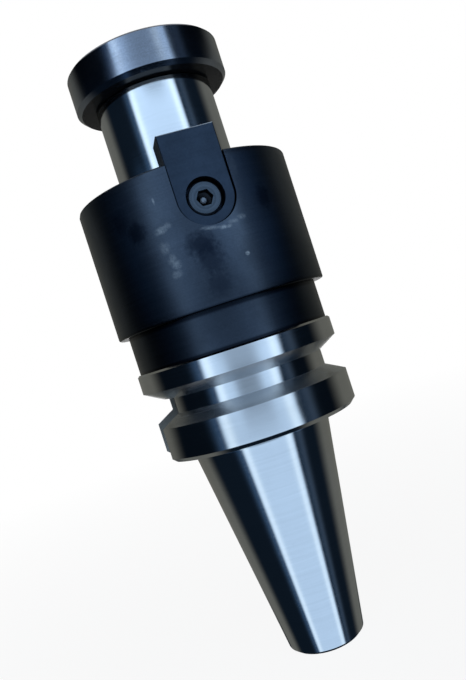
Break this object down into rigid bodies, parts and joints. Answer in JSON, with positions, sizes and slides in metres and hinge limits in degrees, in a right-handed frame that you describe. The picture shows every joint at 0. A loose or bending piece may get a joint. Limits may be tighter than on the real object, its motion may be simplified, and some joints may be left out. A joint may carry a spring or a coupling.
{
  "type": "shell mill arbor",
  "caption": "Steep-taper shell mill arbor: ground 7/24 taper and grooved flange, black body with drive keys, ground pilot and a wide-headed cutter retaining screw.",
  "frame": {"origin": "centre of the gauge plane of the spindle taper", "axes": "+Z along the arbor axis towards the cutter end, drive keys on the Y axis, spindle drive slots on the X axis"},
  "size_m": [0.0488, 0.0488, 0.1384],
  "materials": {
    "ground_steel": "ground bright taper, flange and pilot, black oxide on neck and body",
    "black_oxide_screw": "turned, black oxide",
    "key_steel": "milled, black oxide, slightly worn",
    "screw_steel": "satin grey"
  },
  "bodies": {
    "arbor": {"arbor_body": "ground_steel", "drive_key_front": "key_steel", "drive_key_rear": "key_steel", "key_screw_front": "screw_steel", "key_screw_rear": "screw_steel"},
    "retaining_screw": {"lock_screw": "black_oxide_screw"}
  },
  "joints": [
    {"name": "lock_screw_slide", "type": "slide", "parent": "arbor", "child": "retaining_screw", "axis": [0, 0, 1], "range_m": [0, 0.06]}
  ]
}
